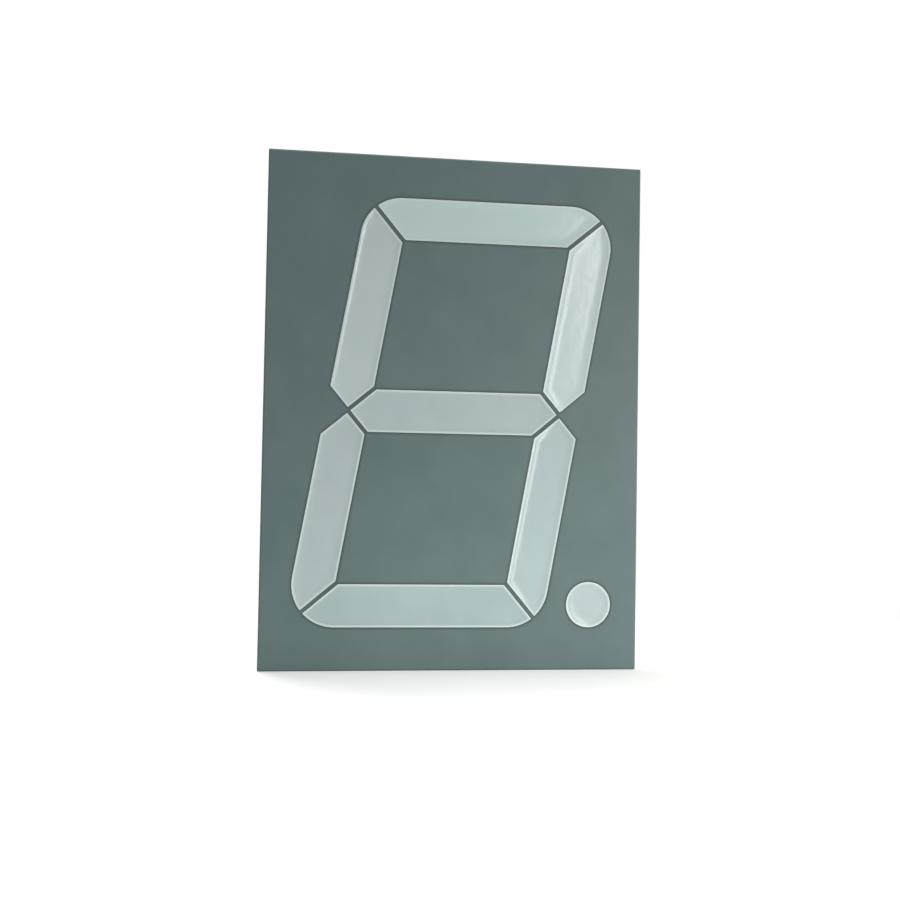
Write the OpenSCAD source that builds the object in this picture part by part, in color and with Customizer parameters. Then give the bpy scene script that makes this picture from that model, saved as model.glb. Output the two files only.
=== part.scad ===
// Large single-digit seven segment display.
// A moulded reflector housing carries eight tapered light wells. A cast diffuser fills the mouth of
// each well, and a board with chip lamps and pins is staked on behind them.
// The face looks along -Y, the digit stands upright along +Z and the pins leave along +Y.
// The origin lies on the seating plane, in the middle of the pin field.

/* [Body] */
// Width of the housing
body_w = 90; // [86:0.5:110]
// Height of the housing
body_h = 122; // [119:0.5:140]
// Depth of the housing, from its face to the rim that it is seated on
body_d = 16; // [13:0.5:24]
// Thickness of the outer walls
wall = 2; // [1.2:0.1:2.6]
// Thickness of the face plate
plate_t = 2; // [1.2:0.1:3]
// Bevel round the edge of the face
edge_bevel = 0.4; // [0.2:0.1:1]

/* [Digit] */
// Height of the digit
digit_h = 101.6; // [92:0.1:104]
// Width of the digit, along its top edge line
digit_w = 61; // [54:0.5:64]
// Width of a segment's stroke
stroke = 10; // [8:0.1:11]
// Lean of the upright strokes, in degrees
slant = 10; // [5:0.5:12]
// Width of the web between neighbouring segments
web = 1; // [0.8:0.1:1.8]
// Radius of the digit's outer corners
corner_r = 10; // [9:0.5:12]
// Diameter of the decimal point
dot_d = 10.8; // [9:0.1:12]
// Space between the decimal point and the stroke beside it
dot_gap = 5.2; // [4:0.1:6.5]

/* [Light wells] */
// How far each side of a well closes in between the face and the board
well_inset = 2.5; // [1.5:0.1:2.8]
// Thickness of the wall round a well
funnel_wall = 1.2; // [0.8:0.1:1.6]
// Thickness of the ribs between the wells and the outer walls
rib_t = 1.2; // [0.8:0.1:2]
// Distance of the upper and lower ribs from the middle of the housing
rib_x = 20; // [16:0.5:24]

/* [Diffusers] */
// Depth of the cast diffuser in a well's mouth
cast_t = 5; // [3:0.5:7]
// Depth of the dish that the casting shrinks into
dish = 0.22; // [0.1:0.02:0.5]
// Width of the dish's sloping bank
bank_w = 2.8; // [1.5:0.1:3]

/* [Board] */
// Thickness of the board
board_t = 1.6; // [0.8:0.1:2.4]
// How far the back of the board lies inside the rim
board_recess = 3; // [2:0.1:4]
// Play between the board's edge and the outer walls
board_play = 0.2; // [0.1:0.05:0.5]

/* [Lamps] */
// Length of a chip lamp
lamp_l = 3.2; // [2:0.1:4]
// Width of a chip lamp
lamp_w = 1.6; // [1:0.1:2]
// Height of the lamp's carrier
lamp_base_h = 0.5; // [0.3:0.05:0.8]
// Height of the lamp's lens above its carrier
lens_h = 0.6; // [0.3:0.05:1]
// Length of the bare terminal at each end of the carrier
terminal_l = 0.6; // [0.3:0.05:0.8]
// How far each end of the lens leans in
lens_lean = 0.2; // [0.05:0.05:0.3]
// Space between the decimal point's two lamps
dot_lamp_gap = 0.6; // [0.3:0.1:1]

/* [Pins] */
// Diameter of a pin's lead
pin_d = 1; // [0.6:0.05:1.1]
// Diameter of a pin's root, which passes through the board
pin_root_d = 1.2; // [1.15:0.05:1.4]
// Length of bare root between the solder and the lead
pin_root_bare = 0.3; // [0.1:0.05:0.5]
// Length of a pin beyond the seating plane
pin_reach = 6; // [3:0.5:10]
// Distance between neighbouring pins in a row
pin_pitch = 5.08; // [3.81:0.01:7.62]
// Distance of each row of pins from the top or bottom of the housing
row_inset = 7.66; // [6:0.01:8.5]
// Diameter of a pin's head
pin_head_d = 2; // [1.6:0.1:2.4]
// Thickness of a pin's head
pin_head_t = 0.5; // [0.3:0.05:0.8]
// Play round a pin's head where a wall of the housing comes near it
pin_head_play = 0.3; // [0.1:0.05:0.6]
// Bevel at a pin's tip
pin_tip = 0.2; // [0.05:0.05:0.25]
// Play of a pin in its hole, on the radius
pin_play = 0.05; // [0.03:0.01:0.15]
// Width of the solder round a pin
solder_w = 0.8; // [0.4:0.05:1.2]
// Height of the solder up a pin
solder_h = 1.3; // [0.6:0.05:1.8]

/* [Stakes] */
// Diameter of the post that the board rests against
post_d = 5; // [4:0.1:6]
// Diameter of the peg that passes through the board
peg_d = 2.5; // [2:0.1:3]
// Play of a peg in its hole, on the radius
peg_play = 0.1; // [0.05:0.05:0.3]
// Diameter of the melted head that holds the board
stake_head_d = 4.6; // [3.8:0.1:6]
// Height of the melted head
stake_head_h = 1.1; // [0.6:0.1:1.8]
// Distance of the corner posts from the outer walls
post_inset = 6; // [4.5:0.5:7]

/* [Hidden] */
SEGMENTS = ["a", "b", "c", "d", "e", "f", "g"];
LAMPS_PER_SEGMENT = 4;
DOT_LAMPS = 2;
PINS_PER_ROW = 5;
PIN_COUNT = 2*PINS_PER_ROW;

$fn = 48;
// Points along each quarter of the digit's corner arcs
arc_steps = 10;
// Steps down the bank of the dish
bank_steps = 8;
// Steps up the hollow side of a solder joint
solder_steps = 5;
// Overlap that lets a cut run clear of a face, or one shape grow out of another
over = 1;

// Levels, from the seating plane towards the viewer
face_z = body_d;
plate_z = face_z - plate_t;
board_z = board_recess;
well_z = board_z + board_t;
cast_z = face_z - cast_t;
well_depth = face_z - well_z;

// The digit's skeleton: middle lines of the strokes
centre_w = digit_w - stroke/cos(slant);
centre_h = (digit_h - stroke)/2;
// Distance of the slanted outer edges from the digit's centre
side_out = digit_w/2*cos(slant);
// Mitre lines halve the angles between level and slanted strokes
rising = 45 - slant/2;
falling = rising - 90;

inner_w = body_w - 2*wall;
inner_h = body_h - 2*wall;
dot_x = digit_w/2 - (digit_h - dot_d)/2*tan(slant) + dot_gap + dot_d/2;
dot_y = (dot_d - digit_h)/2;
dot = [dot_x, dot_y];
post_x = inner_w/2 - post_inset;
post_y = inner_h/2 - post_inset;
row_y = body_h/2 - row_inset;
counter_y = centre_h/2;
POSTS = concat(
    [for (sx = [-1, 1], sy = [-1, 1]) [sx*post_x, sy*post_y]],
    [for (sy = [-1, 1]) sy*[counter_y*tan(slant), counter_y]]
);

// Outlines
// A line is [angle of its outward normal, distance from the digit's centre].

function junction(side, level) =
    [side*centre_w/2 + level*centre_h*tan(slant), level*centre_h];

// The edge of a web: a mitre line through a junction, moved back by half the web
function web_edge(angle, point) =
    [angle, cos(angle)*point.x + sin(angle)*point.y - web/2];

// Where two neighbouring lines cross once both are moved inwards
function crossing(p, q, inset) =
    let (a = p[1] - inset, b = q[1] - inset, turn = sin(q[0] - p[0]))
    [(a*sin(q[0]) - b*sin(p[0]))/turn, (b*cos(p[0]) - a*cos(q[0]))/turn];

function crossings(lines, inset) =
    let (n = len(lines))
    [for (i = [0:n - 1]) crossing(lines[i], lines[(i + 1) % n], inset)];

// Middle of the rounded corner that two outer edges share
function corner_centre(p, q) = crossing(p, q, corner_r);

function corner_arc(centre, from, to, inset) =
    [for (k = [0:arc_steps])
        let (angle = from + (to - from)*k/arc_steps)
        centre + (corner_r - inset)*[cos(angle), sin(angle)]];

// Angle at a corner's centre between its mitre line and the edge of the web there
function tip_angle(inset) = asin((web/2 + inset)/(corner_r - inset));

function half_turn(points) = [for (p = points) -p];

top_edge = [90, digit_h/2];
right_edge = [-slant, side_out];
left_edge = [180 - slant, side_out];
right_inner = [180 - slant, stroke - side_out];
left_inner = [-slant, stroke - side_out];
top_right = corner_centre(right_edge, top_edge);
top_left = corner_centre(top_edge, left_edge);

function outline_a(inset) =
    let (
        under = [270, stroke - digit_h/2],
        right_web = web_edge(falling, junction(1, 1)),
        left_web = web_edge(rising + 180, junction(-1, 1))
    )
    concat(
        [crossing(left_web, under, inset), crossing(under, right_web, inset)],
        corner_arc(top_right, rising + tip_angle(inset), 90, inset),
        corner_arc(top_left, 90, falling + 180 - tip_angle(inset), inset)
    );

function outline_b(inset) =
    let (
        foot_right = web_edge(falling, junction(1, 0)),
        foot_left = web_edge(rising + 180, junction(1, 0)),
        head_web = web_edge(falling + 180, junction(1, 1))
    )
    concat(
        [crossing(foot_left, foot_right, inset), crossing(foot_right, right_edge, inset)],
        corner_arc(top_right, -slant, rising - tip_angle(inset), inset),
        [crossing(head_web, right_inner, inset), crossing(right_inner, foot_left, inset)]
    );

function outline_f(inset) =
    let (
        foot_right = web_edge(falling, junction(-1, 0)),
        foot_left = web_edge(rising + 180, junction(-1, 0)),
        head_web = web_edge(rising, junction(-1, 1))
    )
    concat(
        [crossing(foot_left, foot_right, inset), crossing(foot_right, left_inner, inset)],
        [crossing(left_inner, head_web, inset)],
        corner_arc(top_left, falling + 180 + tip_angle(inset), 180 - slant, inset),
        [crossing(left_edge, foot_left, inset)]
    );

function outline_g(inset) =
    crossings([
        [270, stroke/2],
        web_edge(falling, junction(1, 0)),
        web_edge(rising, junction(1, 0)),
        [90, stroke/2],
        web_edge(falling + 180, junction(-1, 0)),
        web_edge(rising + 180, junction(-1, 0))
    ], inset);

// The lower half of the digit is the upper half given a half turn.
function segment_outline(s, inset) =
    s == "a" ? outline_a(inset) :
    s == "b" ? outline_b(inset) :
    s == "c" ? half_turn(outline_f(inset)) :
    s == "d" ? half_turn(outline_a(inset)) :
    s == "e" ? half_turn(outline_b(inset)) :
    s == "f" ? outline_f(inset) : outline_g(inset);

// The two junctions that a segment's middle line joins
function segment_ends(s) =
    s == "a" ? [junction(-1, 1), junction(1, 1)] :
    s == "b" ? [junction(1, 0), junction(1, 1)] :
    s == "c" ? [junction(1, -1), junction(1, 0)] :
    s == "d" ? [junction(-1, -1), junction(1, -1)] :
    s == "e" ? [junction(-1, -1), junction(-1, 0)] :
    s == "f" ? [junction(-1, 0), junction(-1, 1)] : [junction(-1, 0), junction(1, 0)];

// Outside of the whole figure of wells
function digit_outline(inset) =
    let (right_arc = concat(
        corner_arc(top_right, -slant, 90, inset),
        corner_arc(top_left, 90, 180 - slant, inset)
    ))
    concat(right_arc, half_turn(right_arc));

// The space that the upper half of the digit encloses
function counter_outline(inset) =
    crossings([
        [270, -stroke/2],
        [-slant, side_out - stroke],
        [90, digit_h/2 - stroke],
        [180 - slant, side_out - stroke]
    ], inset);

// How far a well has closed in at a level
function inset_at(z) = well_inset*(face_z - z)/well_depth;

function dish_at(inset) = dish*(1 - pow(1 - inset/bank_w, 3));

function at_level(points, z) = [for (p = points) [p.x, p.y, z]];

// Shared shapes

// Turns a shape drawn flat, with the viewer above it, to stand with its face along -Y
module stand() {
    rotate([90, 0, 0]) children();
}

// Solid through a stack of convex rings with equal numbers of points
module loft(rings) {
    n = len(rings[0]);
    last = (len(rings) - 1)*n;
    sides = [for (base = [0:n:last - n], i = [0:n - 1])
        let (j = (i + 1) % n)
        each [
            [base + i, base + n + i, base + n + j],
            [base + i, base + n + j, base + j]
        ]];
    floor_face = [for (i = [0:n - 1]) i];
    top_face = [for (i = [n - 1:-1:0]) last + i];
    polyhedron(points = [for (ring = rings) each ring], faces = concat([floor_face], sides, [top_face]));
}

// Centred block between two levels
module slab(w, h, z0, z1) {
    translate([-w/2, -h/2, z0]) cube([w, h, z1 - z0]);
}

// Housing

module well(s) {
    loft([
        at_level(segment_outline(s, inset_at(well_z - over)), well_z - over),
        at_level(segment_outline(s, inset_at(cast_z)), cast_z),
        at_level(segment_outline(s, 0), face_z),
        at_level(segment_outline(s, 0), face_z + over)
    ]);
}

module dot_cone(grow, z0, z1) {
    translate([dot.x, dot.y, z0])
        cylinder(r1 = dot_d/2 - inset_at(z0) + grow, r2 = dot_d/2 - inset_at(z1) + grow, h = z1 - z0);
}

module dot_well() {
    dot_cone(0, well_z - over, face_z);
    translate([dot.x, dot.y, face_z - over])
        cylinder(r = dot_d/2 - inset_at(face_z - over), h = 2*over);
}

// Block of all the wells' walls, open at both counters
module well_block() {
    grow_z = plate_z + plate_t/2;
    difference() {
        loft([for (z = [well_z, grow_z]) at_level(digit_outline(inset_at(z) - funnel_wall), z)]);
        for (turn = [0, 180])
            rotate(turn)
                loft([for (z = [well_z - over, plate_z])
                    at_level(counter_outline(funnel_wall - inset_at(z)), z)]);
    }
    dot_cone(funnel_wall, well_z, grow_z);
}

module rib(from, to) {
    span = to - from;
    rise = plate_z + plate_t/2 - well_z;
    translate([from.x, from.y, well_z])
        rotate(atan2(span.y, span.x))
            translate([0, -rib_t/2, 0]) cube([norm(span), rib_t, rise]);
}

// Ribs run from the walls to the strokes' middle lines, and the wells are cut out of them
module ribs() {
    wall_x = inner_w/2 + wall/2;
    wall_y = inner_h/2 + wall/2;
    stroke_x = (junction(1, 1).x + junction(1, 0).x)/2;
    for (turn = [0, 180])
        rotate(turn) {
            rib([stroke_x, counter_y], [wall_x, counter_y]);
            rib([stroke_x - centre_h*tan(slant), -counter_y], [wall_x, -counter_y]);
            for (x = [-rib_x, rib_x]) rib([x, centre_h], [x, wall_y]);
        }
    rib(dot, [wall_x, dot.y]);
    rib(dot, [dot.x, -wall_y]);
}

// Post that the board rests against, with the peg through the board and its melted head
module stake() {
    head_r = stake_head_d/2;
    dome_r = (head_r*head_r + stake_head_h*stake_head_h)/(2*stake_head_h);
    translate([0, 0, well_z]) cylinder(d = post_d, h = plate_z + plate_t/2 - well_z);
    translate([0, 0, board_z - stake_head_h/2]) cylinder(d = peg_d, h = board_t + stake_head_h);
    intersection() {
        translate([0, 0, board_z - stake_head_h + dome_r]) sphere(dome_r);
        translate([0, 0, board_z - stake_head_h]) cylinder(d = stake_head_d, h = stake_head_h);
    }
}

// Room for the heads of the pins, which a taller digit's wells would reach
module head_pockets() {
    for (i = [1:PIN_COUNT])
        translate([pin_place(i).x, pin_place(i).y, well_z - over])
            cylinder(d = pin_head_d + 2*pin_head_play, h = over + pin_head_t + pin_head_play);
}

module shell() {
    bevel_side = edge_bevel*sqrt(2);
    difference() {
        slab(body_w, body_h, 0, face_z);
        slab(inner_w, inner_h, -over, plate_z);
        for (side = [-1, 1]) {
            translate([0, side*body_h/2, face_z])
                rotate([45, 0, 0]) cube([body_w + 2*over, bevel_side, bevel_side], center = true);
            translate([side*body_w/2, 0, face_z])
                rotate([0, 45, 0]) cube([bevel_side, body_h + 2*over, bevel_side], center = true);
        }
    }
}

module housing() {
    color("slategray") stand() {
        difference() {
            union() {
                shell();
                well_block();
                ribs();
                for (p = POSTS) translate([p.x, p.y, 0]) stake();
            }
            for (s = SEGMENTS) well(s);
            dot_well();
            head_pockets();
        }
    }
}

// Diffusers

module segment(s) {
    color("gainsboro") stand()
        loft(concat(
            [at_level(segment_outline(s, inset_at(cast_z)), cast_z)],
            [for (k = [0:bank_steps])
                let (inset = bank_w*k/bank_steps)
                at_level(segment_outline(s, inset), face_z - dish_at(inset))]
        ));
}

module decimal_point() {
    bank = [for (k = [0:bank_steps])
        let (inset = bank_w*k/bank_steps)
        [dot_d/2 - inset, face_z - dish_at(inset)]];
    color("gainsboro") stand()
        translate([dot.x, dot.y, 0])
            rotate_extrude()
                polygon(concat(
                    [[0, cast_z], [dot_d/2 - inset_at(cast_z), cast_z]],
                    bank,
                    [[0, face_z - dish]]
                ));
}

// Board with its lamps and pins

module circuit_board() {
    color("darkolivegreen") stand()
        difference() {
            slab(inner_w - 2*board_play, inner_h - 2*board_play, board_z, well_z);
            for (p = POSTS)
                translate([p.x, p.y, board_z - over]) cylinder(r = peg_d/2 + peg_play, h = board_t + 2*over);
            for (i = [1:PIN_COUNT])
                translate([pin_place(i).x, pin_place(i).y, board_z - over])
                    cylinder(r = pin_root_d/2 + pin_play, h = board_t + 2*over);
        }
}

// Chip lamp: a flat carrier with a lens that leaves a terminal bare at each end
module lamp(place, angle) {
    lens_foot = lamp_l/2 - terminal_l;
    color("khaki") stand()
        translate([place.x, place.y, well_z])
            rotate(angle) {
                slab(lamp_l, lamp_w, 0, lamp_base_h);
                translate([0, lamp_w/2, lamp_base_h])
                    rotate([90, 0, 0])
                        linear_extrude(lamp_w)
                            polygon([
                                [-lens_foot, 0], [lens_foot, 0],
                                [lens_foot - lens_lean, lens_h], [lens_lean - lens_foot, lens_h]
                            ]);
            }
}

// Lamps stand evenly along a segment's middle line, clear of its pointed ends
module segment_lamp(s, k) {
    ends = segment_ends(s);
    run = ends[1] - ends[0];
    lamp(ends[0] + run*k/(LAMPS_PER_SEGMENT + 1), atan2(run.y, run.x));
}

module dot_lamp(k) {
    step = lamp_w + dot_lamp_gap;
    lamp(dot + [0, (k - (DOT_LAMPS + 1)/2)*step], 0);
}

// Pins count from the lower left along the bottom row and back along the top row
function pin_place(i) =
    let (
        row = i <= PINS_PER_ROW ? -1 : 1,
        step = i <= PINS_PER_ROW ? i - 1 : PIN_COUNT - i
    )
    [(step - (PINS_PER_ROW - 1)/2)*pin_pitch, row*row_y];

// Pin with a head on the lamps' side of the board, a root through board and solder, and a slimmer lead
module pin(i) {
    root_z = board_z - solder_h - pin_root_bare;
    color("silver") stand()
        translate([pin_place(i).x, pin_place(i).y, 0])
            rotate_extrude()
                polygon([
                    [0, -pin_reach], [pin_d/2 - pin_tip, -pin_reach],
                    [pin_d/2, pin_tip - pin_reach], [pin_d/2, root_z],
                    [pin_root_d/2, root_z], [pin_root_d/2, well_z],
                    [pin_head_d/2, well_z], [pin_head_d/2, well_z + pin_head_t],
                    [0, well_z + pin_head_t]
                ]);
}

module solder_joints() {
    flank = [for (k = [0:solder_steps])
        let (t = k/solder_steps)
        [pin_root_d/2 + solder_w*pow(1 - t, 2), board_z - solder_h*t]];
    color("lightgray") stand()
        for (i = [1:PIN_COUNT])
            translate([pin_place(i).x, pin_place(i).y, 0])
                rotate_extrude() polygon(concat([[pin_root_d/2, board_z]], flank));
}

housing();
circuit_board();
solder_joints();
decimal_point();
for (s = SEGMENTS) {
    segment(s);
    for (k = [1:LAMPS_PER_SEGMENT])
        segment_lamp(s, k);
}
for (k = [1:DOT_LAMPS])
    dot_lamp(k);
for (i = [1:PIN_COUNT])
    pin(i);
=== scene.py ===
"""Looks of a large seven segment display: coated face, cast diffusers, white moulding, staked board.

Sizes are in millimetres, in the part's own frame: X to the right of the digit, Z up it, face along -Y.
"""
import math

import bmesh
import bpy
from mathutils import Matrix, Vector
from mathutils.geometry import delaunay_2d_cdt


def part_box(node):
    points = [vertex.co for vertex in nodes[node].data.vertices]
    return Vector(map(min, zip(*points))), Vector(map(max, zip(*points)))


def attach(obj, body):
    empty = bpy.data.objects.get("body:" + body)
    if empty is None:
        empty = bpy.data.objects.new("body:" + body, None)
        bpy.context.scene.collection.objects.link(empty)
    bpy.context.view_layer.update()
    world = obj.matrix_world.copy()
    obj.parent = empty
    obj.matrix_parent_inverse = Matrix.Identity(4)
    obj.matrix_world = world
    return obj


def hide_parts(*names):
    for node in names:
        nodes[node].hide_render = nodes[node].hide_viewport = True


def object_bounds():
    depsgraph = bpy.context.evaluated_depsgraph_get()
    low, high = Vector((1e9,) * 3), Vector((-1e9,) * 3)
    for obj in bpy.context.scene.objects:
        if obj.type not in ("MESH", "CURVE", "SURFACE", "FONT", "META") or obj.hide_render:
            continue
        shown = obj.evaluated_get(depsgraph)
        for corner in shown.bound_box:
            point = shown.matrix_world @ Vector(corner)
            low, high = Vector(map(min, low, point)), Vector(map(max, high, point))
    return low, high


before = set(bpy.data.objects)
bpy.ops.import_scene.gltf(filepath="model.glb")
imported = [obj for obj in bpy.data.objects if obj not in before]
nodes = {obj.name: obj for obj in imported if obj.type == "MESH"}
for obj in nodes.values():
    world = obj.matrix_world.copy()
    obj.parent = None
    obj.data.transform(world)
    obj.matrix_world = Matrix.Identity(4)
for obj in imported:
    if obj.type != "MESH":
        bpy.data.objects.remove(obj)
cad_low, cad_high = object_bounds()

MM = 0.001
SEGMENTS = "abcdefg"
PIN_COUNT = 10
# Edges that turn by more than this many degrees stay crisp
CRISP_ABOVE = 35
# Most of a noise texture's values lie in this range
NOISE_RANGE = (0.3, 0.7)


def box_mm(node):
    """Lowest and highest corner of a solid, in millimetres."""
    low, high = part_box(node)
    return low/MM, high/MM


# Sizes read from the solids
body_low, body_high = box_mm("housing")
board_low, board_high = box_mm("circuit_board")
bar_low, bar_high = box_mm("segment_g")
dot_low, dot_high = box_mm("decimal_point")
face_y = body_low.y
half_w = body_high.x
half_h = body_high.z
board_back = board_high.y
well_depth = board_low.y - face_y
cast_t = bar_high.y - bar_low.y
stroke = bar_high.z - bar_low.z
digit_h = box_mm("segment_a")[1].z - box_mm("segment_d")[0].z
dot_r = (dot_high.x - dot_low.x)/2
dot_centre = Vector((dot_low.x + dot_high.x, dot_low.z + dot_high.z))/2

# Sizes of the digit's outline
digit_w = 61.0
slant = math.radians(10)
web = 1.0
corner_r = 10.0
well_inset = 2.5
arc_steps = 16

# Front of a diffuser: a narrow lip at the wall, a sloping bank and a flat floor
lip_w = 0.4
lip_drop = 0.03
bank_w = 2.8
dish = 0.22
lip_steps = 3
bank_steps = 20

# Each diffuser is cast by itself, so the resin's tint differs a little, from 0 greyer to 1 greener;
# and painted light: how much paler it is made, standing in for more light or sheen falling on it
RESIN_TINT_AND_PAINTED_LIGHT = {
    "a": (1.0, 0.82), "b": (0.3, 0.70), "c": (0.4, 0.17), "d": (0.8, 0.00),
    "e": (0.0, 0.20), "f": (0.0, 0.52), "g": (0.2, 0.17), "dot": (0.0, 0.18),
}

# Grey coat on the face: its outside is the solid's own face, and the moulding lies a hair behind it
coat_t = 0.05
coat_cover = 0.02
coat_wrap = 0.3
edge_bevel = 0.4
corner_round = 0.3
# Painted shade: the coat is darker over this distance from an aperture and darkest across the webs;
# its mesh has rings at these steps, none of which meets a neighbour's in the middle of a web
painted_shade_w = 0.75
COAT_RINGS = [0.02, 0.2, 0.45, painted_shade_w]

# Outlines: a line is (angle of its outward normal, distance from the digit's centre)
side_out = digit_w/2*math.cos(slant)
centre_w = digit_w - stroke/math.cos(slant)
centre_h = (digit_h - stroke)/2
rising = math.pi/4 - slant/2
falling = rising - math.pi/2
TOP_EDGE = (math.pi/2, digit_h/2)
RIGHT_EDGE = (-slant, side_out)
LEFT_EDGE = (math.pi - slant, side_out)
RIGHT_INNER = (math.pi - slant, stroke - side_out)
LEFT_INNER = (-slant, stroke - side_out)
UNDER_TOP = (-math.pi/2, stroke - digit_h/2)


def heading(angle):
    return Vector((math.cos(angle), math.sin(angle)))


def junction(side, level):
    return Vector((side*centre_w/2 + level*centre_h*math.tan(slant), level*centre_h))


def web_edge(angle, point):
    """Mitre line through a junction, moved back by half the web."""
    return angle, heading(angle).dot(point) - web/2


def crossing(p, q, inset):
    """Where two neighbouring lines cross once both are moved inwards."""
    a = p[1] - inset
    b = q[1] - inset
    turn = math.sin(q[0] - p[0])
    return Vector((
        (a*math.sin(q[0]) - b*math.sin(p[0]))/turn,
        (b*math.cos(p[0]) - a*math.cos(q[0]))/turn,
    ))


TOP_RIGHT = crossing(RIGHT_EDGE, TOP_EDGE, corner_r)
TOP_LEFT = crossing(TOP_EDGE, LEFT_EDGE, corner_r)


def arc(centre, radius, start, end, steps=arc_steps):
    angles = [start + (end - start)*k/steps for k in range(steps + 1)]
    return [centre + radius*heading(angle) for angle in angles]


def tip_angle(inset):
    """Angle at a corner's centre between its mitre line and the edge of the web."""
    return math.asin((web/2 + inset)/(corner_r - inset))


def outline_a(inset):
    right_web = web_edge(falling, junction(1, 1))
    left_web = web_edge(rising + math.pi, junction(-1, 1))
    radius = corner_r - inset
    tip = tip_angle(inset)
    return [
        crossing(left_web, UNDER_TOP, inset),
        crossing(UNDER_TOP, right_web, inset),
        *arc(TOP_RIGHT, radius, rising + tip, math.pi/2),
        *arc(TOP_LEFT, radius, math.pi/2, falling + math.pi - tip),
    ]


def outline_b(inset):
    foot_right = web_edge(falling, junction(1, 0))
    foot_left = web_edge(rising + math.pi, junction(1, 0))
    head = web_edge(falling + math.pi, junction(1, 1))
    return [
        crossing(foot_left, foot_right, inset),
        crossing(foot_right, RIGHT_EDGE, inset),
        *arc(TOP_RIGHT, corner_r - inset, -slant, rising - tip_angle(inset)),
        crossing(head, RIGHT_INNER, inset),
        crossing(RIGHT_INNER, foot_left, inset),
    ]


def outline_f(inset):
    foot_right = web_edge(falling, junction(-1, 0))
    foot_left = web_edge(rising + math.pi, junction(-1, 0))
    head = web_edge(rising, junction(-1, 1))
    start = falling + math.pi + tip_angle(inset)
    return [
        crossing(foot_left, foot_right, inset),
        crossing(foot_right, LEFT_INNER, inset),
        crossing(LEFT_INNER, head, inset),
        *arc(TOP_LEFT, corner_r - inset, start, math.pi - slant),
        crossing(LEFT_EDGE, foot_left, inset),
    ]


def outline_g(inset):
    lines = [
        (-math.pi/2, stroke/2),
        web_edge(falling, junction(1, 0)),
        web_edge(rising, junction(1, 0)),
        (math.pi/2, stroke/2),
        web_edge(falling + math.pi, junction(-1, 0)),
        web_edge(rising + math.pi, junction(-1, 0)),
    ]
    return [crossing(p, q, inset) for p, q in zip(lines, lines[1:] + lines[:1])]


def outline_dot(inset):
    return arc(dot_centre, dot_r - inset, 0, 2*math.pi, 4*arc_steps)[:-1]


def half_turn(points):
    return [-p for p in points]


def aperture(name, inset):
    """Outline of one diffuser, moved inwards. The digit's lower half is its upper half turned."""
    upper = {"a": outline_a, "b": outline_b, "f": outline_f, "g": outline_g, "dot": outline_dot}
    lower = {"d": outline_a, "e": outline_b, "c": outline_f}
    return upper[name](inset) if name in upper else half_turn(lower[name](inset))


# Mesh tools

def at(p, y):
    """A point of the face's plane, at a depth, in metres."""
    return Vector((p[0], y, p[1]))*MM


def add_object(name, mesh):
    obj = bpy.data.objects.new(name, mesh)
    bpy.context.scene.collection.objects.link(obj)
    return obj


def smooth(mesh, below=CRISP_ABOVE):
    """Smooth shading, with crisp edges above an angle in degrees."""
    mesh.polygons.foreach_set("use_smooth", [True]*len(mesh.polygons))
    mesh.set_sharp_from_angle(angle=math.radians(below))


def mesh_from(name, bm):
    """A mesh without slivers from a bmesh."""
    sliver = 0.001*MM
    bmesh.ops.dissolve_degenerate(bm, dist=sliver, edges=bm.edges)
    mesh = bpy.data.meshes.new(name)
    bm.to_mesh(mesh)
    bm.free()
    return mesh


def piece(name, bm, material, smooth_below=CRISP_ABOVE):
    """A finished object from a bmesh."""
    mesh = mesh_from(name, bm)
    smooth(mesh, smooth_below)
    mesh.materials.append(material)
    return add_object(name, mesh)


def ring_strip(bm, first, second):
    """Quads between two closed rings of vertices with equal counts."""
    count = len(first)
    return [
        bm.faces.new((first[i], first[(i + 1) % count], second[(i + 1) % count], second[i]))
        for i in range(count)
    ]


def lathe(profile, steps, wobble=0.0):
    """Closed ring turned about Y from (radius, y) points; a wobble makes it uneven away from its bore."""
    bm = bmesh.new()
    bore = min(r for r, y in profile)
    rings = []
    for k in range(steps):
        turn = 2*math.pi*k/steps
        lobe = 1 + wobble*math.sin(2*turn) + wobble/2*math.sin(3*turn + 1)
        rings.append([bm.verts.new(at((bore + (r - bore)*lobe)*heading(turn), y)) for r, y in profile])
    for k in range(steps):
        ring_strip(bm, rings[k], rings[(k + 1) % steps])
    bmesh.ops.recalc_face_normals(bm, faces=bm.faces)
    return bm


# Material tools

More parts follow.
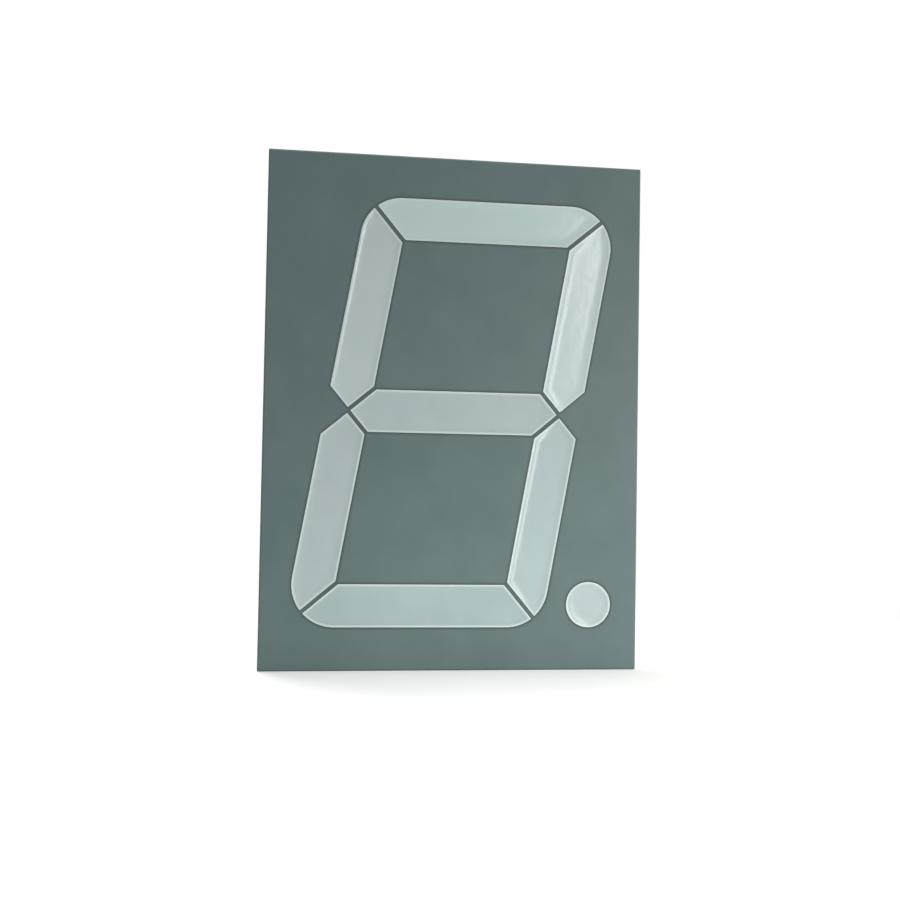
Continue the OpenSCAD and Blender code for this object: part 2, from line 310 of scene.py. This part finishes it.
class Finish:
    """A material whose patterns read the piece's own coordinates, in millimetres."""

    def __init__(self, name):
        self.material = bpy.data.materials.new(name)
        self.material.use_nodes = True
        self.tree = self.material.node_tree
        self.shader = self.tree.nodes["Principled BSDF"]
        coordinates = self.node("ShaderNodeTexCoord")
        self.mm = self.vector_math("SCALE", coordinates.outputs["Object"], scale=1/MM)

    def node(self, kind, **settings):
        made = self.tree.nodes.new(kind)
        for key, value in settings.items():
            setattr(made, key, value)
        return made

    def feed(self, socket, value):
        """Links a node's output to a socket, or sets the socket's own value."""
        if isinstance(value, bpy.types.NodeSocket):
            self.tree.links.new(value, socket)
        else:
            socket.default_value = value

    def set(self, **values):
        for key, value in values.items():
            self.feed(self.shader.inputs[key.replace("_", " ").title().replace("Ior", "IOR")], value)

    def vector_math(self, operation, vector, other=None, scale=None):
        made = self.node("ShaderNodeVectorMath", operation=operation)
        self.feed(made.inputs[0], vector)
        if other is not None:
            self.feed(made.inputs[1], other)
        if scale is not None:
            self.feed(made.inputs["Scale"], scale)
        return made.outputs[0]

    def math(self, operation, a, b=0.0):
        made = self.node("ShaderNodeMath", operation=operation)
        self.feed(made.inputs[0], a)
        self.feed(made.inputs[1], b)
        return made.outputs[0]

    def axis(self, name):
        made = self.node("ShaderNodeSeparateXYZ")
        self.feed(made.inputs[0], self.mm)
        return made.outputs[name]

    def noise(self, per_mm, detail=2.0, stretch=(1, 1, 1)):
        made = self.node("ShaderNodeTexNoise")
        self.feed(made.inputs["Vector"], self.vector_math("MULTIPLY", self.mm, stretch))
        self.feed(made.inputs["Scale"], per_mm)
        self.feed(made.inputs["Detail"], detail)
        return made.outputs[0]

    def remap(self, value, low, high, to_low=0.0, to_high=1.0):
        made = self.node("ShaderNodeMapRange")
        for socket, number in zip(made.inputs, (value, low, high, to_low, to_high)):
            self.feed(socket, number)
        return made.outputs[0]

    def spread(self, noise, to_low=0.0, to_high=1.0):
        """Noise stretched over a whole range."""
        return self.remap(noise, *NOISE_RANGE, to_low, to_high)

    def blend(self, share, first, second):
        made = self.node("ShaderNodeMix", data_type="RGBA")
        self.feed(made.inputs[0], share)
        self.feed(made.inputs[6], first if isinstance(first, bpy.types.NodeSocket) else (*first, 1))
        self.feed(made.inputs[7], second if isinstance(second, bpy.types.NodeSocket) else (*second, 1))
        return made.outputs[2]

    def attribute(self, name):
        return self.node("ShaderNodeAttribute", attribute_name=name).outputs["Fac"]

    def bump(self, height, depth, onto=None):
        """Relief of a depth in millimetres, on top of another relief if there is one."""
        made = self.node("ShaderNodeBump")
        self.feed(made.inputs["Strength"], 1.0)
        self.feed(made.inputs["Distance"], depth*MM)
        self.feed(made.inputs["Height"], height)
        if onto is not None:
            self.feed(made.inputs["Normal"], onto)
        return made.outputs[0]


def coat_finish():
    """Matt grey sprayed coat: faint clouding, fine grain, and painted shade along the apertures and across
    the webs.
    """
    f = Finish("grey_face_coat")
    clouds = f.spread(f.noise(0.09, 3))
    speckle = f.spread(f.noise(2.2, 3))
    base = f.blend(clouds, (0.060, 0.099, 0.103), (0.075, 0.116, 0.120))
    base = f.blend(f.math("MULTIPLY", speckle, 0.4), base, (0.086, 0.128, 0.132))
    # Painted shade: the lip value darkens the coat at each aperture's edge and across the webs between them
    base = f.blend(f.attribute("lip"), base, (0.020, 0.036, 0.037))
    grain = f.bump(f.noise(4.5, 2), 0.012)
    f.set(
        base_color=base,
        roughness=f.remap(speckle, 0, 1, 0.50, 0.60),
        normal=f.bump(f.noise(1.1, 2), 0.010, grain),
    )
    return f.material


def diffuser_finish():
    """Milky cast resin with a slightly uneven skin, and painted light: paler diffusers and a paler rim."""
    f = Finish("milky_diffuser")
    # A paler rim against the wall: partly the white wall showing through thin resin, partly a painted
    # highlight
    rim = f.remap(f.attribute("inset"), 0.2, 0.6, 1, 0)
    clouds = f.spread(f.noise(0.16, 3))
    # Painted light: each diffuser's own value lifts it toward a paler colour, as if more light or sheen
    # fell on it
    painted_light = f.attribute("painted_light")
    grey = f.blend(clouds, (0.295, 0.350, 0.370), (0.315, 0.372, 0.393))
    grey = f.blend(painted_light, grey, (0.460, 0.545, 0.551))
    green = f.blend(clouds, (0.275, 0.362, 0.371), (0.295, 0.386, 0.394))
    green = f.blend(painted_light, green, (0.438, 0.549, 0.557))
    floor = f.blend(f.attribute("tint"), grey, green)
    base = f.blend(f.math("MULTIPLY", rim, 0.9), floor, (0.50, 0.575, 0.575))
    waves = f.bump(f.noise(0.32, 2), 0.04)
    f.set(
        base_color=base,
        roughness=f.spread(f.noise(0.7, 3), 0.11, 0.17),
        normal=f.bump(f.noise(1.6, 2), 0.006, waves),
        subsurface_weight=0.15,
        subsurface_scale=1.0*MM,
    )
    return f.material


def moulding_finish():
    """White moulded plastic with a fine eroded grain from the tool."""
    f = Finish("white_moulding")
    clouds = f.spread(f.noise(0.05, 3))
    base = f.blend(clouds, (0.575, 0.580, 0.555), (0.625, 0.628, 0.605))
    grain = f.noise(5.0, 3)
    f.set(
        base_color=base,
        roughness=f.spread(grain, 0.38, 0.52),
        normal=f.bump(grain, 0.010),
    )
    return f.material


def board_finish():
    """Green solder mask over glass cloth, with the bare laminate at the cut edges."""
    f = Finish("green_solder_mask")
    weave_x = f.node("ShaderNodeTexWave", bands_direction="X")
    weave_z = f.node("ShaderNodeTexWave", bands_direction="Z")
    for weave in (weave_x, weave_z):
        f.feed(weave.inputs["Vector"], f.mm)
        f.feed(weave.inputs["Scale"], 0.45)
        f.feed(weave.inputs["Distortion"], 0.6)
    cloth = f.math("MULTIPLY", weave_x.outputs[1], weave_z.outputs[1])
    clouds = f.spread(f.noise(0.12, 3))
    mask = f.blend(clouds, (0.012, 0.082, 0.030), (0.018, 0.105, 0.040))
    mask = f.blend(f.math("MULTIPLY", cloth, 0.22), mask, (0.040, 0.150, 0.060))
    laminate = f.blend(f.noise(1.5, 3, (1, 6, 1)), (0.30, 0.27, 0.13), (0.42, 0.38, 0.20))
    cut_depth = 0.02
    edge_x = f.math("GREATER_THAN", f.math("ABSOLUTE", f.axis("X")), board_high.x - cut_depth)
    edge_z = f.math("GREATER_THAN", f.math("ABSOLUTE", f.axis("Z")), board_high.z - cut_depth)
    edge = f.math("MAXIMUM", edge_x, edge_z)
    f.set(
        base_color=f.blend(edge, mask, laminate),
        roughness=f.remap(cloth, 0, 1, 0.30, 0.40),
        normal=f.bump(cloth, 0.006),
    )
    return f.material


def track_finish():
    """Copper under solder mask: a lighter green, with the mask's gloss."""
    f = Finish("masked_copper")
    clouds = f.spread(f.noise(0.5, 3))
    f.set(
        base_color=f.blend(clouds, (0.030, 0.165, 0.055), (0.045, 0.200, 0.068)),
        roughness=f.remap(clouds, 0, 1, 0.26, 0.36),
        normal=f.bump(f.noise(2.5, 2), 0.006),
    )
    return f.material


def tin_finish(name, light, dark, rough, streaks=(1, 1, 1)):
    """Bright tin: fine streaks on drawn wire, or smooth pools on solder."""
    f = Finish(name)
    pattern = f.spread(f.noise(2.0, 4, streaks))
    f.set(
        base_color=f.blend(pattern, light, dark),
        metallic=1.0,
        roughness=f.remap(pattern, 0, 1, *rough),
        normal=f.bump(f.noise(1.4, 2, streaks), 0.02),
    )
    return f.material


def lamp_finish():
    """Chip lamp: white carrier on the board, yellowish lens in front of it."""
    f = Finish("chip_lamp")
    carrier_t = 0.5
    lens = f.math("LESS_THAN", f.axis("Y"), box_mm("lamp_a_1")[1].y - carrier_t)
    speckle = f.spread(f.noise(3.0, 2))
    carrier = f.blend(speckle, (0.62, 0.62, 0.60), (0.70, 0.70, 0.68))
    resin = f.blend(speckle, (0.62, 0.52, 0.20), (0.70, 0.60, 0.26))
    f.set(base_color=f.blend(lens, carrier, resin), roughness=f.remap(speckle, 0, 1, 0.25, 0.4))
    return f.material


# Geometry Nodes tools

def new_tree(name, inputs):
    """A tree with the geometry in and out and named inputs, and a short way to add and link nodes."""
    tree = bpy.data.node_groups.new(name, "GeometryNodeTree")
    tree.interface.new_socket("Geometry", in_out="INPUT", socket_type="NodeSocketGeometry")
    for label, kind in inputs:
        tree.interface.new_socket(label, in_out="INPUT", socket_type="NodeSocket" + kind)
    tree.interface.new_socket("Geometry", in_out="OUTPUT", socket_type="NodeSocketGeometry")

    def add(kind, links, **settings):
        made = tree.nodes.new(kind)
        for key, value in settings.items():
            setattr(made, key, value)
        for key, value in links.items():
            if isinstance(value, bpy.types.NodeSocket):
                tree.links.new(value, made.inputs[key])
            else:
                made.inputs[key].default_value = value
        return made

    return tree, tree.nodes.new("NodeGroupInput").outputs, add


def repeat_tree():
    """One copy of a part at each point, each with its own turn about Y and a slightly different size."""
    tree, given, add = new_tree("part_at_each_point", [
        ("Part", "Object"), ("Finish", "Material"), ("Spread", "Float"), ("Seed", "Int"),
    ])
    part = add("GeometryNodeObjectInfo", {"Object": given["Part"]})
    turn = add(
        "FunctionNodeRandomValue", {1: (0, 2*math.pi, 0), "Seed": given["Seed"]}, data_type="FLOAT_VECTOR"
    )
    least = add("ShaderNodeMath", {0: 1.0, 1: given["Spread"]}, operation="SUBTRACT")
    most = add("ShaderNodeMath", {0: 1.0, 1: given["Spread"]}, operation="ADD")
    size = add("FunctionNodeRandomValue", {2: least.outputs[0], 3: most.outputs[0], "Seed": given["Seed"]})
    copies = add("GeometryNodeInstanceOnPoints", {
        "Points": given["Geometry"], "Instance": part.outputs["Geometry"],
        "Rotation": turn.outputs[0], "Scale": size.outputs[1],
    })
    real = add("GeometryNodeRealizeInstances", {0: copies.outputs[0]})
    done = add("GeometryNodeSetMaterial", {"Geometry": real.outputs[0], "Material": given["Finish"]})
    add("NodeGroupOutput", {0: done.outputs[0]})
    return tree


def track_tree():
    """Flat track along each path of edges, with rounded bends and shoulders."""
    tree, given, add = new_tree("track_along_path", [
        ("Finish", "Material"), ("Width", "Float"), ("Thickness", "Float"), ("Bend", "Float"),
        ("Shoulder", "Float"),
    ])
    path = add("GeometryNodeMeshToCurve", {"Mesh": given["Geometry"]})
    eased = add("GeometryNodeFilletCurve", {
        "Curve": path.outputs[0], "Radius": given["Bend"], "Limit Radius": True, "Count": 5,
    }, mode="POLY")
    level = add("GeometryNodeSetCurveNormal", {"Curve": eased.outputs[0]}, mode="Z_UP")
    section = add("GeometryNodeCurvePrimitiveQuadrilateral", {
        "Width": given["Width"], "Height": given["Thickness"],
    })
    shouldered = add("GeometryNodeFilletCurve", {
        "Curve": section.outputs[0], "Radius": given["Shoulder"], "Limit Radius": True, "Count": 2,
    }, mode="POLY")
    strip = add("GeometryNodeCurveToMesh", {
        "Curve": level.outputs[0], "Profile Curve": shouldered.outputs[0], "Fill Caps": True,
    })
    real = add("GeometryNodeRealizeInstances", {0: strip.outputs[0]})
    done = add("GeometryNodeSetMaterial", {"Geometry": real.outputs[0], "Material": given["Finish"]})
    add("NodeGroupOutput", {0: done.outputs[0]})
    return tree


def grow(name, carrier, tree, turn=None, **values):
    """Runs a tree on a carrier mesh and keeps the result as a plain object at the origin."""
    obj = add_object(name + "_carrier", carrier)
    modifier = obj.modifiers.new("grow", "NODES")
    modifier.node_group = tree
    sockets = {s.name: s.identifier for s in tree.interface.items_tree if s.in_out == "INPUT"}
    for key, value in values.items():
        modifier[sockets[key.title()]] = value
    evaluated = obj.evaluated_get(bpy.context.evaluated_depsgraph_get())
    mesh = bpy.data.meshes.new_from_object(evaluated)
    bpy.data.objects.remove(obj)
    if turn is not None:
        mesh.transform(turn)
    mesh.name = name
    smooth(mesh)
    return add_object(name, mesh)


def points_mesh(name, points):
    mesh = bpy.data.meshes.new(name)
    mesh.from_pydata([tuple(p) for p in points], [], [])
    return mesh


def paths_mesh(name, paths):
    """Chains of edges, one chain for each path, in the XY plane."""
    mesh = bpy.data.meshes.new(name)
    points = []
    edges = []
    for path in paths:
        first = len(points)
        points += [(x*MM, z*MM, 0) for x, z in path]
        edges += [(k, k + 1) for k in range(first, len(points) - 1)]
    mesh.from_pydata(points, edges, [])
    return mesh


def ride(obj, slot, *stands_for):
    """Ties a piece to the part's one body and hides the solids that it stands for; the slot is not used."""
    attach(obj, "root")
    if stands_for:
        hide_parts(*stands_for)


# Pieces

def moulding():
    """The housing's solid: coplanar triangles joined, rim and corners rounded, with room for the coat."""
    bm = bmesh.new()
    bm.from_mesh(nodes["housing"].data)
    near = 0.002*MM
    flat_within = math.radians(0.3)
    bmesh.ops.remove_doubles(bm, verts=bm.verts, dist=near)
    bmesh.ops.dissolve_limit(bm, angle_limit=flat_within, verts=bm.verts, edges=bm.edges)
    wall_x = (half_w - coat_cover)*MM
    wall_z = (half_h - coat_cover)*MM
    for v in bm.verts:
        v.co.x = min(wall_x, max(-wall_x, v.co.x))
        v.co.y = max((face_y + coat_cover)*MM, v.co.y)
        v.co.z = min(wall_z, max(-wall_z, v.co.z))

    sharp_above = 1.0
    corner_x = (half_w - edge_bevel)*MM - near
    corner_z = (half_h - edge_bevel)*MM - near

    def on_corner(edge):
        return all(abs(v.co.x) > corner_x and abs(v.co.z) > corner_z for v in edge.verts)

    def on_rim(edge):
        return all(abs(v.co.y) < near for v in edge.verts)

    corners = [e for e in bm.edges if on_corner(e) and not on_rim(e)]
    rims = [e for e in bm.edges if on_rim(e) and e.calc_face_angle(0) > sharp_above]
    bmesh.ops.bevel(
        bm, geom=corners + rims, offset=corner_round*MM, offset_type="OFFSET", segments=3, profile=0.5,
        affect="EDGES", clamp_overlap=True,
    )
    ride(piece("moulding", bm, moulding_finish()), "housing", "housing")


def rounded_rectangle(w, h, radius):
    """Points round a rectangle of half width w and half height h, counter-clockwise from the right."""
    quarter = math.pi/2
    points = []
    for k, (sx, sz) in enumerate([(1, 1), (-1, 1), (-1, -1), (1, -1)]):
        centre = Vector((sx*(w - radius), sz*(h - radius)))
        points += arc(centre, radius, k*quarter, (k + 1)*quarter, steps=4)
    return points


def inside(p, ring):
    """True if a point lies in a convex ring that runs counter-clockwise."""
    pairs = zip(ring, ring[1:] + ring[:1])
    return all((b - a).cross(p - a) >= 0 for a, b in pairs)


def edge_distance(p, ring):
    """Distance from a point to a closed ring."""
    nearest = []
    for a, b in zip(ring, ring[1:] + ring[:1]):
        along = b - a
        t = min(1, max(0, (p - a).dot(along)/along.length_squared))
        nearest.append((p - a - t*along).length)
    return min(nearest)


def face_coat():
    """The grey coat: one skin over the face and its bevel, open at the eight apertures."""
    names = [*SEGMENTS, "dot"]
    border = rounded_rectangle(half_w - edge_bevel, half_h - edge_bevel, corner_round)
    points = list(border)
    edges = [(k, (k + 1) % len(border)) for k in range(len(border))]
    for name in names:
        for distance in COAT_RINGS:
            ring = aperture(name, -distance)
            first = len(points)
            points += ring
            edges += [(first + k, first + (k + 1) % len(ring)) for k in range(len(ring))]
    inner_triangles = 1
    tolerance = 1e-6
    flat, _, triangles, origins, _, _ = delaunay_2d_cdt(points, edges, [], inner_triangles, tolerance)
    mouths = [aperture(name, 0) for name in names]
    holes = [aperture(name, -COAT_RINGS[0]) for name in names]

    bm = bmesh.new()
    layer = bm.verts.layers.float.new("lip")
    verts = []
    for p in flat:
        v = bm.verts.new(at(p, face_y))
        # Painted shade for the coat: 1 at an aperture's edge, fading with distance, and summed across a web
        # between two apertures
        near = sum(max(0, 1 - edge_distance(p, mouth)/painted_shade_w) for mouth in mouths)
        v[layer] = min(1, near)
        verts.append(v)
    for triangle in triangles:
        centre = sum((flat[i] for i in triangle), Vector((0, 0)))/3
        if not any(inside(centre, hole) for hole in holes):
            bm.faces.new([verts[i] for i in triangle])
    for v in [v for v in bm.verts if not v.link_faces]:
        bm.verts.remove(v)

    place_of = {origin[0]: k for k, origin in enumerate(origins) if origin}
    ring = [verts[place_of[k]] for k in range(len(border))]
    outer = rounded_rectangle(half_w, half_h, corner_round)
    for y in (face_y + edge_bevel, face_y + edge_bevel + coat_wrap):
        below = [bm.verts.new(at(p, y)) for p in outer]
        ring_strip(bm, below, ring)
        ring = below
    obj = piece("face_coat", bm, coat_finish())
    skin = obj.modifiers.new("coat_thickness", "SOLIDIFY")
    skin.thickness = coat_t*MM
    skin.offset = -1
    ride(obj, "housing")


def diffuser_profile():
    """(inset, depth) pairs from the wall to the edge of the floor."""
    lip = [lip_w*k/lip_steps for k in range(lip_steps + 1)]
    profile = [(w, lip_drop*(w/lip_w)**2) for w in lip]
    for k in range(1, bank_steps + 1):
        t = k/bank_steps
        profile.append((lip_w + (bank_w - lip_w)*t, lip_drop + (dish - lip_drop)*(1 - (1 - t)**3)))
    return profile


def diffuser(name, node, material):
    """A casting that fills the mouth of one well, in place of its solid, with a dished front."""
    bm = bmesh.new()
    layer = bm.verts.layers.float.new("inset")
    tint = bm.verts.layers.float.new("tint")
    painted_light = bm.verts.layers.float.new("painted_light")
    back_inset = well_inset*cast_t/well_depth
    levels = [(back_inset, face_y + cast_t, 0.0)]
    levels += [(inset, face_y + depth, inset) for inset, depth in diffuser_profile()]
    rings = []
    for inset, y, mark in levels:
        ring = [bm.verts.new(at(p, y)) for p in aperture(name, inset)]
        for v in ring:
            v[layer] = mark
            # Tint of the resin, and painted light for this diffuser
            v[tint], v[painted_light] = RESIN_TINT_AND_PAINTED_LIGHT[name]
        rings.append(ring)
    bm.faces.new(rings[0])
    for first, second in zip(rings, rings[1:]):
        ring_strip(bm, first, second)
    bm.faces.new(rings[-1])
    bmesh.ops.recalc_face_normals(bm, faces=bm.faces)
    ride(piece("diffuser_" + name, bm, material, smooth_below=28), "diffuser", node)


def diffusers():
    material = diffuser_finish()
    for name in SEGMENTS:
        diffuser(name, "segment_" + name, material)
    diffuser("dot", "decimal_point", material)


def pin_places():
    """Where each pin passes through the back of the board."""
    places = []
    for k in range(1, PIN_COUNT + 1):
        low, high = box_mm(f"pin_{k}")
        places.append(Vector((low.x + high.x, low.z + high.z))/2)
    return places


def copper_tracks(pins, material):
    """Tracks on the back of the board, from the pins to the lamps' feeds, clear of the stakes.

    Returns where the feeds are.
    """
    signal_w = 0.9
    common_w = 1.8
    track_t = 0.14
    bend_r = 0.8
    shoulder_r = 0.06
    # By a pin's number: the bends of its track and then its feed
    ends = {
        1: [(-22, -53.34), (-33, -42.34), (-33, -33)],
        2: [(-5.08, -47.5), (-8.08, -44.5)],
        4: [(5.08, -50.5), (19.6, -36), (19.6, -30)],
        5: [(24, -53.34), (29.5, -47.84)],
        6: [(22, 53.34), (33, 42.34), (33, 33)],
        7: [(5.08, 47.5), (8.08, 44.5)],
        9: [(-5.08, 16), (-10.2, 10.88), (-10.2, 0)],
        10: [(-10.16, 50.5), (-17.4, 43.26), (-17.4, 34)],
    }
    signal = [[tuple(pins[k - 1])] + route for k, route in ends.items()]
    # Pins 3 and 8 are the common ones
    common = [[tuple(pins[2]), tuple(pins[7])]]
    upright = Matrix.Translation((0, board_back*MM, 0)) @ Matrix.Rotation(math.pi/2, 4, "X")
    tree = track_tree()
    for name, paths, width in (("signal_tracks", signal, signal_w), ("common_track", common, common_w)):
        obj = grow(
            name, paths_mesh(name + "_paths", paths), tree, upright, finish=material,
            width=width*MM, thickness=track_t*MM, bend=bend_r*MM, shoulder=shoulder_r*MM,
        )
        ride(obj, "board")
    return [Vector(route[-1]) for route in ends.values()]


def repeat(
    name, profile, places, material, slot, stands_for=(), steps=28, wobble=0.0, spread=0.0, seed=0
):
    """Copies of one turned part on the back of the board."""
    part = add_object(name + "_part", mesh_from(name + "_part", lathe(profile, steps, wobble)))
    points = points_mesh(name + "_points", [at(p, board_back) for p in places])
    obj = grow(name, points, REPEAT, part=part, finish=material, spread=spread, seed=seed)
    bpy.data.objects.remove(part)
    ride(obj, slot, *stands_for)


def board_details():
    """Tracks, pads, solder joints and vias on the back of the board."""
    pins = pin_places()
    masked_copper = track_finish()
    feeds = copper_tracks(pins, masked_copper)
    solder = tin_finish("solder", (0.72, 0.72, 0.71), (0.60, 0.60, 0.60), rough=(0.16, 0.30))
    pads = tin_finish("tinned_pad", (0.70, 0.69, 0.66), (0.60, 0.59, 0.56), rough=(0.28, 0.42))
    # Profiles are (radius, height over the board). Pads and vias sink into the board, joints into the pads
    sink = 0.02
    root_r = 0.6
    pad_r = 1.7
    pad_t = 0.11
    pad_ease_w = 0.06
    pad_ease_h = 0.02
    pad = [
        (root_r, -sink), (pad_r, -sink), (pad_r, pad_t - pad_ease_h), (pad_r - pad_ease_w, pad_t),
        (root_r, pad_t),
    ]
    repeat("pin_pads", pad, pins, pads, "solder")
    joint_bore = 0.55
    joint_neck = 0.62
    joint_w = 0.8
    joint_low = 0.02
    joint_high = 1.3
    joint_curve = 2.2
    joint_steps = 8
    rise = []
    for k in range(joint_steps + 1):
        t = k/joint_steps
        rise.append((joint_neck + joint_w*(1 - t)**joint_curve, joint_low + (joint_high - joint_low)*t))
    joint = [(joint_bore, joint_low), *rise, (joint_bore, joint_high)]
    repeat(
        "solder_fillets", joint, pins, solder, "solder", ["solder_joints"], wobble=0.04, spread=0.03, seed=4
    )
    via_bore = 0.18
    via_r = 0.62
    via_t = 0.10
    via_ease_w = 0.10
    via_ease_h = 0.04
    via_eye_w = 0.12
    via_eye_low = 0.02
    via = [
        (via_bore, -sink), (via_r, -sink), (via_r, via_t - via_ease_h), (via_r - via_ease_w, via_t),
        (via_bore + via_eye_w, via_t), (via_bore, via_eye_low),
    ]
    repeat("feed_vias", via, feeds, masked_copper, "board", steps=18)


def dress_nodes():
    """Finishes for the solids that are shown as they are."""
    along_wire = (6, 0.4, 6)
    wire = tin_finish("tinned_wire", (0.74, 0.73, 0.70), (0.62, 0.61, 0.58), (0.20, 0.36), along_wire)
    finishes = {"circuit_board": board_finish()}
    lamp = lamp_finish()
    for name in nodes:
        if name.startswith("pin_"):
            finishes[name] = wire
        if name.startswith("lamp_"):
            finishes[name] = lamp
    for name, material in finishes.items():
        slots = nodes[name].data.materials
        slots.clear()
        slots.append(material)


# Stage

def seen_directly(tree):
    """1 for rays from the camera, off gloss or through glass, and 0 for rays that light the object."""
    path = tree.nodes.new("ShaderNodeLightPath")
    total = path.outputs["Is Camera Ray"]
    for name in ("Is Glossy Ray", "Is Transmission Ray"):
        most = tree.nodes.new("ShaderNodeMath")
        most.operation = "MAXIMUM"
        tree.links.new(total, most.inputs[0])
        tree.links.new(path.outputs[name], most.inputs[1])
        total = most.outputs[0]
    return total


def white_world(fill):
    """White where it is seen, and a plain soft fill where it lights the object."""
    world = bpy.data.worlds.new("studio")
    world.use_nodes = True
    tree = world.node_tree
    background = tree.nodes["Background"]
    background.inputs["Color"].default_value = (1, 1, 1, 1)
    strength = tree.nodes.new("ShaderNodeMapRange")
    tree.links.new(seen_directly(tree), strength.inputs[0])
    strength.inputs["To Min"].default_value = fill
    strength.inputs["To Max"].default_value = 1.0
    tree.links.new(strength.outputs[0], background.inputs["Strength"])
    bpy.context.scene.world = world


def white_floor(lift):
    """Pale floor under the bottom edge: it keeps the shadow, reads as white and fades out around."""
    floor_r = 250
    fade_from = 90
    fade_to = 210
    f = Finish("pale_floor")
    f.set(base_color=(0.90, 0.90, 0.90, 1), roughness=0.9, emission_color=(1, 1, 1, 1))
    f.set(emission_strength=f.remap(seen_directly(f.tree), 0, 1, 0, lift))
    away = f.node("ShaderNodeVectorMath", operation="LENGTH")
    f.feed(away.inputs[0], f.mm)
    fade = f.node("ShaderNodeMapRange", interpolation_type="SMOOTHSTEP")
    f.feed(fade.inputs["Value"], away.outputs["Value"])
    f.feed(fade.inputs["From Min"], fade_from)
    f.feed(fade.inputs["From Max"], fade_to)
    mixed = f.node("ShaderNodeMixShader")
    clear = f.node("ShaderNodeBsdfTransparent")
    f.feed(mixed.inputs[0], fade.outputs[0])
    f.feed(mixed.inputs[1], f.shader.outputs[0])
    f.feed(mixed.inputs[2], clear.outputs[0])
    f.feed(f.tree.nodes["Material Output"].inputs["Surface"], mixed.outputs[0])
    bm = bmesh.new()
    bmesh.ops.create_circle(bm, cap_ends=True, segments=96, radius=floor_r*MM)
    bmesh.ops.translate(bm, verts=bm.verts, vec=(0, 0, cad_low.z))
    piece("floor", bm, f.material)


def softbox(name, place, aim, width, height, watts, colour=(1, 1, 1), lean=0.0):
    """A rectangular lamp at a place, turned to a point and rolled by a lean in degrees.

    The camera doesn't see it.
    """
    lamp = bpy.data.lights.new(name, "AREA")
    lamp.shape = "RECTANGLE"
    lamp.size = width*MM
    lamp.size_y = height*MM
    lamp.energy = watts
    lamp.color = colour
    obj = add_object(name, lamp)
    obj.location = Vector(place)*MM
    obj.rotation_mode = "QUATERNION"
    level = (Vector(aim) - Vector(place)).to_track_quat("-Z", "Y")
    obj.rotation_quaternion = level @ Matrix.Rotation(math.radians(lean), 3, "Z").to_quaternion()
    obj.visible_camera = False
    return obj


def lights():
    """Soft light from the right, a tall window beyond it, a weak low light, one above and one behind."""
    middle = (0, 0, 0)
    face = (0, face_y, 0)
    softbox("side_light", (240, -172, 3), face, width=210, height=116, watts=0.485, colour=(1, 0.97, 0.88))
    softbox(
        "window_light", (206, -500, 28), face, width=68, height=316, watts=0.41, colour=(1, 0.985, 0.95),
        lean=9,
    )
    low = softbox("low_light", (42, -84, -52), (42, face_y, -46), width=160, height=12, watts=0.037)
    low.visible_glossy = False
    softbox("top_light", (0, 50, 400), middle, width=300, height=160, watts=0.42)
    softbox("back_light", (-260, 330, 260), middle, width=300, height=300, watts=1.2)


def camera():
    """The photograph's view: a little to the left of the digit's middle and below it."""
    place = Vector((-30.1, -251.6, -16.3))
    aim = Vector((-1.0, face_y, -8.9))
    roll = math.radians(1.0)
    data = bpy.data.cameras.new("camera")
    data.lens = 40
    data.sensor_width = 36
    data.clip_start = 0.01
    obj = add_object("camera", data)
    obj.location = place*MM
    obj.rotation_mode = "QUATERNION"
    level = (aim - place).to_track_quat("-Z", "Y")
    obj.rotation_quaternion = level @ Matrix.Rotation(roll, 3, "Z").to_quaternion()
    bpy.context.scene.camera = obj


REPEAT = repeat_tree()
moulding()
face_coat()
diffusers()
board_details()
dress_nodes()

white_world(fill=0.44)
white_floor(lift=0.26)
lights()
camera()
bpy.context.scene.view_settings.view_transform = "Standard"
